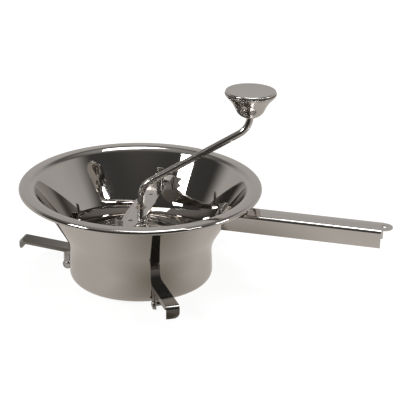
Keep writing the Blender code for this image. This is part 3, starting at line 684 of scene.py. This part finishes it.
def leg_top_outline():
    """Side of the arm's top sheet and the hook at its end."""
    end = LEG_REACH - LEG_PIVOT_RADIUS
    bend = LEG_HOOK_BEND + LEG_SHEET
    inner_end = RUN_GAP - LEG_PIVOT_OFFSET
    rise = math.radians(LEG_ARM_RISE)
    centre = (end - bend, arm_top(end - bend) - bend / math.cos(rise))
    tip = arm_top(end) - LEG_HOOK_DROP
    outside = arc(centre, bend, 90 + LEG_ARM_RISE, 0, 16) + [(end, tip)]
    inside = [(end - LEG_SHEET, tip)] + arc(centre, LEG_HOOK_BEND, 0, 90 + LEG_ARM_RISE, 16)
    under = arm_top(inner_end) - LEG_SHEET / math.cos(rise)
    return [(inner_end, arm_top(inner_end))] + outside + inside + [(inner_end, under)]


def hook_corners(name, place, material):
    """Cutters that leave the hook's lower end round."""
    end = LEG_REACH - LEG_PIVOT_RADIUS
    tip = arm_top(end) - LEG_HOOK_DROP
    spare = 1 * MM
    centre = (LEG_WIDTH / 2 - LEG_HOOK_ROUND, tip + LEG_HOOK_ROUND)
    curve = arc(centre, LEG_HOOK_ROUND, -90, 0, 14)
    outline = curve + [(LEG_WIDTH / 2 + spare, tip + LEG_HOOK_ROUND), (LEG_WIDTH / 2 + spare, tip - spare)]
    outline.append((curve[0][0], tip - spare))
    face_out = Matrix(((0, 0, 1, 0), (1, 0, 0, 0), (0, 1, 0, 0), (0, 0, 0, 1)))
    at = place @ Matrix.Translation((end - LEG_SHEET / 2, 0, 0)) @ face_out
    mirror = Matrix.Diagonal((-1, 1, 1, 1))
    return [
        plate(f"{name}_corner{i}", outline, 3 * LEG_SHEET, material, at @ flip)
        for i, flip in enumerate((Matrix(), mirror))
    ]


def round_long_edges(obj, place):
    """Rounds the bend between the arm's top and its side flanges."""
    inverse = place.inverted()
    made = bmesh.new()
    made.from_mesh(obj.data)
    weights = made.edges.layers.float.new("bevel_weight_edge")
    outer_end = LEG_REACH - LEG_PIVOT_RADIUS - LEG_HOOK_BEND
    for edge in made.edges:
        ends = [inverse @ vertex.co for vertex in edge.verts]
        outside = all(abs(abs(p.y) - LEG_WIDTH / 2) < 0.2 * MM for p in ends)
        on_top = all(abs(p.z - arm_top(p.x)) < 0.4 * MM for p in ends)
        lengthwise = abs(ends[0].x - ends[1].x) > 2 * MM
        on_arm = max(p.x for p in ends) < outer_end + 1 * MM
        if outside and on_top and lengthwise and on_arm:
            edge[weights] = 1
    made.to_mesh(obj.data)
    made.free()
    bevel = obj.modifiers.new("Bend", "BEVEL")
    bevel.width = LEG_EDGE
    bevel.segments = 5
    bevel.limit_method = "WEIGHT"
    return bake(obj)


def make_leg(number, angle, material):
    """Arm on two side straps, bent from one sheet, with a hook at its outer end."""
    name = f"leg_{number}"
    place = leg_place(angle)
    body = plate(f"{name}_sheet", leg_top_outline(), LEG_WIDTH, material, place @ SIDE_ON)
    offset = LEG_WIDTH / 2 - LEG_SHEET / 2
    sides = []
    for side in (-1, 1):
        aside = place @ Matrix.Translation((0, side * (offset - SEAM), 0)) @ SIDE_ON
        sides.append(plate(f"{name}_side{side}", leg_strap_outline(), LEG_SHEET, material, aside))
    boolean(body, "UNION", *sides)
    across = place @ SIDE_ON
    boolean(body, "DIFFERENCE", drill(f"{name}_hole", LEG_PIN_RADIUS + FIT_GAP, 2 * LEG_WIDTH, across))
    boolean(body, "DIFFERENCE", *hook_corners(name, place, material))
    round_long_edges(body, place)
    soften(body, 0.25 * MM, segments=2, angle=40)
    weighted(body)
    return stand_for(body, name, name)


def make_leg_pin(number, angle, material):
    """Rivet with domed heads."""
    inner = LEG_WIDTH / 2 + FIT_GAP / 2
    dome = arc((0, 0), LEG_PIN_HEAD_RADIUS, 90, 0, 12)
    head = [(r, inner + z * LEG_PIN_HEAD / LEG_PIN_HEAD_RADIUS) for r, z in dome]
    profile = head + [(LEG_PIN_RADIUS, inner), (LEG_PIN_RADIUS, -inner)]
    profile += [(r, -z) for r, z in reversed(head)]
    mesh = turned_mesh(f"leg_pin_{number}_rivet", profile, 40, closed=False)
    bmesh_weld(mesh)
    mesh.transform(leg_place(angle) @ SIDE_ON)
    pin = new_piece(f"leg_rivet_{number}", mesh, material, sharp=40)
    return stand_for(pin, "root", f"leg_pin_{number}", slot="plated_steel")


def bmesh_weld(mesh, distance=1e-6):
    made = bmesh.new()
    made.from_mesh(mesh)
    bmesh.ops.remove_doubles(made, verts=made.verts, dist=distance)
    bmesh.ops.recalc_face_normals(made, faces=made.faces)
    made.to_mesh(mesh)
    made.free()


# Bridge


def make_bar(material):
    """Flat bar across the bowl, with filed edges, a finger tab near each end and two small holes."""
    low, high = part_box("bridge_bar")
    reach = (high[1] - low[1]) / 2
    top = high[2]
    middle, end = BAR_MIDDLE_WIDTH / 2, BAR_END_WIDTH / 2
    waist = 2 * middle
    blend = [(middle, waist * 0.7), (middle - 0.15 * MM, waist * 0.85), (middle - 0.6 * MM, waist)]
    quarter = blend + [(end + 0.4 * MM, reach - 2 * end)] + arc((0, reach - end), end, 12, 90, 14)[:-1]
    right = [(x, -y) for x, y in reversed(quarter)] + quarter
    outline = right + [(-x, -y) for x, y in right]
    centre = Matrix.Translation((AXIS_X, 0, BASE_Z + BAR_TOP - BAR_THICKNESS / 2))
    bar = plate("bridge_bar_plate", outline, BAR_THICKNESS, material, centre)
    holes = [(0, BORE_RADIUS + BUSH_WALL + FIT_GAP), (BAR_HOLE_OFFSET, BAR_HOLE_RADIUS),
             (-BAR_HOLE_OFFSET, BAR_HOLE_RADIUS)]
    cutters = [
        drill(f"bar_hole_{i}", radius, 4 * BAR_THICKNESS, centre @ Matrix.Translation((0, y, 0)))
        for i, (y, radius) in enumerate(holes)
    ]
    boolean(bar, "DIFFERENCE", *cutters)
    tabs = [bar_tab(side, top, material) for side in (1, -1)]
    boolean(bar, "UNION", *tabs)
    soften(bar, 0.4 * MM, segments=3, angle=40)
    weighted(bar)
    return stand_for(bar, "bridge", "bridge_bar")


def bar_tab(side, top, material):
    """A curled finger tab, standing on the bar close to the lug's roof."""
    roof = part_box("bridge_lug_1")[0][1]
    outside = roof - TAB_GAP
    bottom = BASE_Z + BAR_TOP - BAR_THICKNESS * 0.6
    half = math.degrees(math.asin(TAB_WIDTH / 2 / TAB_CURL))
    centre = (0, outside - TAB_CURL)
    outer = arc(centre, TAB_CURL, 90 - half, 90 + half, 16)
    inner = arc(centre, TAB_CURL - BAR_THICKNESS * TAB_SHEET, 90 + half, 90 - half, 16)
    outline = [(x, side * y) for x, y in outer + inner]
    height = top - bottom
    place = Matrix.Translation((AXIS_X, 0, bottom + height / 2))
    return plate(f"bar_tab{side}", outline, height, material, place)


def make_spring(material):
    """Compression coil with closed ends; the real spring shortens as the blade lifts, but this coil keeps
    one length.
    """
    low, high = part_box("pressure_spring")
    bottom, top = low[2] + SPRING_WIRE_RADIUS, high[2] - SPRING_WIRE_RADIUS
    per_turn = 40
    open_turns = SPRING_TURNS - 2 * SPRING_CLOSED_TURNS
    open_rise = top - bottom - 2 * SPRING_CLOSED_TURNS * SPRING_CLOSED_PITCH
    path = []
    for i in range(SPRING_TURNS * per_turn + 1):
        turn = i / per_turn
        share = min(1, max(0, (turn - SPRING_CLOSED_TURNS) / open_turns))
        closed = min(turn, SPRING_CLOSED_TURNS) + max(0, turn + SPRING_CLOSED_TURNS - SPRING_TURNS)
        height = bottom + closed * SPRING_CLOSED_PITCH + open_rise * share
        angle = math.tau * turn
        path.append((AXIS_X + SPRING_RADIUS * math.cos(angle), SPRING_RADIUS * math.sin(angle), height))
    mesh = tube_mesh("pressure_coil", path, SPRING_WIRE_RADIUS, sides=14)
    spring = new_piece("pressure_coil", mesh, material, sharp=50)
    stand_for(spring, "carriage", "pressure_spring", slot="plated_steel")
    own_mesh(spring)
    return spring


# Crank, blade and knob


def make_rod(material):
    """Bent bar: up the bowl's axis, out over the rim and up through the knob."""
    turn = 90 - ROD_RISE
    setback = ROD_BEND * math.tan(math.radians(turn / 2))
    upper_corner = ROD_CORNER_HEIGHT + KNOB_OFFSET * math.tan(math.radians(ROD_RISE))
    lower_centre = (ROD_BEND, ROD_CORNER_HEIGHT - setback)
    upper_centre = (KNOB_OFFSET - ROD_BEND, upper_corner + setback)
    lower = arc(lower_centre, ROD_BEND, 180, 180 - turn, 28)
    upper = arc(upper_centre, ROD_BEND, -turn, 0, 28)
    path = [(0, ROD_FOOT)] + line((0, ROD_FOOT), lower[0], 6) + lower + line(lower[-1], upper[0], 8) + upper
    path.append((KNOB_OFFSET, KNOB_BOTTOM + KNOB_BUSH_HEIGHT + ROD_END))
    points = [CRANK @ Vector((x, 0, z)) for x, z in path]
    rod = new_piece("crank_bar", tube_mesh("crank_bar", points, ROD_RADIUS, sides=48), material, sharp=50)
    return stand_for(rod, "crank", "crank_rod")


def make_wing(name, node, start, sweep, rise, material):
    """Helical sheet round the hub, from its working edge near the sieve up to its tail."""
    around_steps, across_steps = 48, 12
    inner = HUB_RADIUS + FIT_GAP
    rows = []
    for i in range(around_steps + 1):
        share = i / around_steps
        angle = math.radians(start + sweep * share)
        reach = WING_REACH - (WING_REACH - inner) * WING_TAPER * share * share
        height = WING_LOW + rise * share
        radii = [inner + (reach - inner) * j / across_steps for j in range(across_steps + 1)]
        rows.append([(r * math.cos(angle), r * math.sin(angle), height) for r in radii])
    mesh = swept_mesh(name, rows, closed_rows=False, closed_columns=False)
    if mesh.polygons[0].normal.z < 0:
        mesh.flip_normals()
    mesh.transform(CRANK)
    wing = new_piece(name, mesh, material)
    sheet = wing.modifiers.new("Sheet", "SOLIDIFY")
    sheet.thickness = WING_THICKNESS
    sheet.offset = 1
    edges = wing.modifiers.new("Edges", "BEVEL")
    edges.width = 0.25 * MM
    edges.segments = 2
    edges.limit_method = "ANGLE"
    return stand_for(wing, "crank", node)


# The knob's flared shell as (height below the lid, radius) in mm, from the lid down to the foot
KNOB_PROFILE = (
    (0, 24.8), (1.5, 24.3), (3, 23.1), (5, 21.2), (7.5, 18.9), (10, 17.1),
    (13, 15.3), (16, 13.9), (18.5, 12.6), (20.5, 11.0), (22, 9.2), (23, 7.4),
)


def smooth_line(points, steps):
    """A Catmull-Rom curve through the points."""

    def between(before, start, end, after, t):
        square = (2 * before - 5 * start + 4 * end - after) * t * t
        cube = (3 * start - before - 3 * end + after) * t ** 3
        return 0.5 * (2 * start + (end - before) * t + square + cube)

    spread = [points[0], *points, points[-1]]
    curve = []
    for four in zip(spread, spread[1:], spread[2:], spread[3:]):
        curve += [tuple(between(*values, i / steps) for values in zip(*four)) for i in range(steps)]
    return curve + [points[-1]]


def make_knob(shell_material):
    """Hollow flared shell with a rounded foot, and a lid with a rolled lip over it."""
    top = KNOB_TOP - KNOB_LIP - FIT_GAP
    neck = (BORE_RADIUS + KNOB_BUSH_WALL + FIT_GAP, KNOB_BOTTOM)
    sides = [(radius * MM, top - depth * MM) for depth, radius in KNOB_PROFILE]
    path = smooth_line(sides + [neck], 5)
    place = CRANK @ Matrix.Translation((KNOB_OFFSET, 0, 0))
    mesh = turned_mesh("knob_cone", path, 128, closed=False)
    mesh.transform(place)
    shell = new_piece("knob_cone", mesh, shell_material, sharp=50)
    sheet = shell.modifiers.new("Sheet", "SOLIDIFY")
    sheet.thickness = KNOB_SHEET
    sheet.offset = -1
    stand_for(shell, "knob", "knob_shell")

    lip = KNOB_LIP / 2
    rolled = arc((KNOB_RADIUS - lip, KNOB_TOP - lip), lip, 90, -60, 20)
    flat = KNOB_RADIUS - lip
    shares = [i / 12 for i in range(12)]
    top_flat = [(flat * share, KNOB_TOP - KNOB_DISH * (1 - share * share)) for share in shares]
    under = [(KNOB_RADIUS - KNOB_LIP, KNOB_TOP - 2 * KNOB_SHEET), (0, KNOB_TOP - 2.5 * KNOB_SHEET)]
    lid_mesh = turned_mesh("knob_lid", top_flat + rolled + under, 128, closed=False)
    bmesh_weld(lid_mesh)
    lid_mesh.transform(place)
    lid = new_piece("knob_lid", lid_mesh, shell_material, sharp=50)
    return stand_for(lid, "knob", "knob_cap")


# Pieces whose CAD shape already is the real one


def finish_cad_nodes(materials):
    """Small nodes keep their CAD mesh and get rounded edges and a better material."""
    finishes = {
        "sieve_bush": "hub", "blade_hub": "hub", "bridge_bush": "bronze", "knob_bush": "bronze",
        "spring_seat": "plated", "cross_pin": "plated", "hub_pin": "plated", "knob_retainer": "plated",
        "bridge_lug_1": "bracket", "bridge_lug_2": "bracket", "leg_bracket_1": "bracket",
        "leg_bracket_2": "bracket", "leg_bracket_3": "bracket",
    }
    for name, finish in finishes.items():
        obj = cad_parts[name]
        obj.data.materials.clear()
        obj.data.materials.append(materials[finish])
        edges = obj.modifiers.new("Edges", "BEVEL")
        edges.width = 0.2 * MM
        edges.segments = 2
        edges.limit_method = "ANGLE"
        edges.angle_limit = math.radians(40)


# Stage, light and camera

CAMERA_AZIMUTH = 13.75
CAMERA_ELEVATION = 22.28
CAMERA_ROLL = 1.1
CAMERA_PLACE = (344.1 * MM, -1156.3 * MM, 574.5 * MM)  # from the middle of the base ring
CAMERA_LENS = 116.8
SENSOR = 36

# What the steel mirrors of the room, at heights from 0, the horizon, to 1, overhead
FRONT_LIGHT = ((0.0, 0.07), (0.20, 0.045), (0.62, 0.06), (0.85, 0.30), (1.0, 0.40))
BACK_LIGHT = ((0.0, 0.50), (0.30, 0.56), (0.50, 0.48), (0.70, 0.14), (1.0, 0.40))
FRONT_TO_BACK = ((0.42, 0.0), (0.62, 1.0))

# The floor as the camera sees it, and as the steel mirrors it
PAPER = (0.9, 0.9, 0.9, 1)
PAPER_GLOW = (1.2, 1.2, 1.2, 1)
PAPER_GLOW_SHARE = 0.75
FLOOR_MIRRORED = (0.60, 0.565, 0.53, 1)
FLOOR_SHADE = (0.24, 0.215, 0.18, 1)
FLOOR_UNLIT = (0.03, 0.027, 0.022, 1)
SHADE_PLACE = (AXIS_X + 75 * MM, -115 * MM, 0.0)  # of the dim patch of floor by the bowl's front right
SHADE_REACH = 130 * MM
PAPER_FRONT = (-0.33, -0.25)  # where the lit paper ends in front of the mill, along Y


def make_camera():
    azimuth, elevation = math.radians(CAMERA_AZIMUTH), math.radians(CAMERA_ELEVATION)
    data = bpy.data.cameras.new("camera")
    data.lens = CAMERA_LENS
    data.sensor_width = SENSOR
    camera = bpy.data.objects.new("camera", data)
    bpy.context.scene.collection.objects.link(camera)
    look = Matrix.Rotation(azimuth, 4, "Z") @ Matrix.Rotation(math.radians(90) - elevation, 4, "X")
    roll = Matrix.Rotation(math.radians(CAMERA_ROLL), 4, "Z")
    camera.matrix_world = MILL @ Matrix.Translation(CAMERA_PLACE) @ look @ roll
    bpy.context.scene.camera = camera


def panel(name, position, target, size, power):
    """A softbox, which the steel also mirrors."""
    data = bpy.data.lights.new(name, "AREA")
    data.shape = "RECTANGLE"
    data.size, data.size_y = size
    data.energy = power
    lamp = bpy.data.objects.new(name, data)
    bpy.context.scene.collection.objects.link(lamp)
    lamp.location = position
    aim = Vector(target) - Vector(position)
    lamp.rotation_euler = aim.to_track_quat("-Z", "Y").to_euler()
    return lamp


def make_world():
    """White to the camera; what the steel mirrors is a dark room in front and a light wall behind."""
    world = bpy.data.worlds.new("studio")
    bpy.context.scene.world = world
    world.use_nodes = True
    tree = world.node_tree
    background = tree.nodes["Background"]
    coordinates = tree.nodes.new("ShaderNodeTexCoord")
    split = tree.nodes.new("ShaderNodeSeparateXYZ")
    tree.links.new(coordinates.outputs["Generated"], split.inputs[0])

    def ramp(value, stops):
        node = tree.nodes.new("ShaderNodeValToRGB")
        node.color_ramp.interpolation = "EASE"
        elements = node.color_ramp.elements
        while len(elements) < len(stops):
            elements.new(0.5)
        for element, (position, level) in zip(elements, stops):
            element.position = position
            element.color = (level, level * 0.965, level * 0.93, 1)
        tree.links.new(value, node.inputs[0])
        return node.outputs[0]

    def shifted(value):
        node = tree.nodes.new("ShaderNodeMath")
        node.operation = "MULTIPLY_ADD"
        tree.links.new(value, node.inputs[0])
        node.inputs[1].default_value = 0.5
        node.inputs[2].default_value = 0.5
        return node.outputs[0]

    def mix(factor, first, second):
        node = tree.nodes.new("ShaderNodeMix")
        node.data_type = "RGBA"
        tree.links.new(factor, node.inputs[0])
        for index, value in ((6, first), (7, second)):
            if isinstance(value, tuple):
                node.inputs[index].default_value = value
            else:
                tree.links.new(value, node.inputs[index])
        return node.outputs[2]

    height = split.outputs[2]
    front = ramp(height, FRONT_LIGHT)
    back = ramp(height, BACK_LIGHT)
    blend = ramp(shifted(split.outputs[1]), FRONT_TO_BACK)
    room = mix(blend, front, back)
    path = tree.nodes.new("ShaderNodeLightPath")
    seen = mix(path.outputs["Is Camera Ray"], room, (1, 1, 1, 1))
    tree.links.new(seen, background.inputs[0])
    background.inputs[1].default_value = 1


def make_floor():
    """Paper that is nearly white to the camera and greyer where the steel mirrors it."""
    mesh = bpy.data.meshes.new("floor")
    made = bmesh.new()
    bmesh.ops.create_grid(made, x_segments=8, y_segments=8, size=6)
    made.to_mesh(mesh)
    made.free()
    nodes = Nodes("floor_paper")
    grain = nodes.noise(object_point(nodes), 40.0, 2.0)
    nodes.feed(nodes.shader.inputs["Roughness"], nodes.span(grain, 0, 1, 0.75, 0.85))
    nodes.shader.inputs["Base Color"].default_value = PAPER
    path = nodes.add("ShaderNodeLightPath")
    seen = path.outputs["Is Camera Ray"]
    away = nodes.add("ShaderNodeVectorMath", {0: object_point(nodes), 1: SHADE_PLACE}, operation="DISTANCE")
    lit = nodes.add(
        "ShaderNodeMapRange",
        {0: away.outputs["Value"], 1: 0.0, 2: SHADE_REACH, 3: 0.0, 4: 1.0},
        interpolation_type="SMOOTHSTEP",
    )
    near = nodes.mix(lit.outputs[0], FLOOR_SHADE, FLOOR_MIRRORED)
    split = nodes.add("ShaderNodeSeparateXYZ", {0: object_point(nodes)})
    paper = nodes.span(split.outputs[1], *PAPER_FRONT, 0.0, 1.0)
    mirrored = nodes.mix(paper, FLOOR_UNLIT, near)
    colour = nodes.mix(seen, mirrored, PAPER_GLOW)
    glow = nodes.add("ShaderNodeEmission", {"Color": colour, "Strength": 1.0})
    share = nodes.span(seen, 0, 1, 1.0, PAPER_GLOW_SHARE)
    both = nodes.add("ShaderNodeMixShader", {0: share, 1: nodes.shader.outputs[0], 2: glow.outputs[0]})
    output = nodes.tree.nodes["Material Output"]
    nodes.tree.links.new(both.outputs[0], output.inputs[0])
    floor = new_piece("floor", mesh, nodes.material)


def make_stage():
    bpy.context.scene.view_settings.view_transform = "Standard"
    make_camera()
    make_world()
    make_floor()
    centre = (AXIS_X, 0, 0.08)
    panel("key_left", (-1.3, -1.2, 1.2), centre, (0.5, 0.55), 14)
    panel("window_right", (1.45, -0.62, 1.18), centre, (0.5, 0.10), 3)
    panel("side_right", (1.9, 0.1, 0.45), centre, (0.5, 0.18), 5)
    panel("top", (0.1, 0.15, 1.9), centre, (1.0, 0.8), 16)


def build():
    materials = make_materials()
    make_bowl(materials["bowl"])
    make_sieve(materials["sieve"])
    make_handle(materials["handle"])
    for number, angle in enumerate(LEG_ANGLES, start=1):
        make_leg(number, angle, materials["leg"])
        make_leg_pin(number, angle, materials["plated"])
    make_bar(materials["bar"])
    make_spring(materials["plated"])
    make_rod(materials["rod"])
    make_wing("auger_blade", "auger_wing", *AUGER, materials["wing"])
    make_wing("scraper_blade", "scraper_wing", *SCRAPER, materials["wing"])
    make_knob(materials["knob"])
    finish_cad_nodes(materials)
    make_stage()


build()
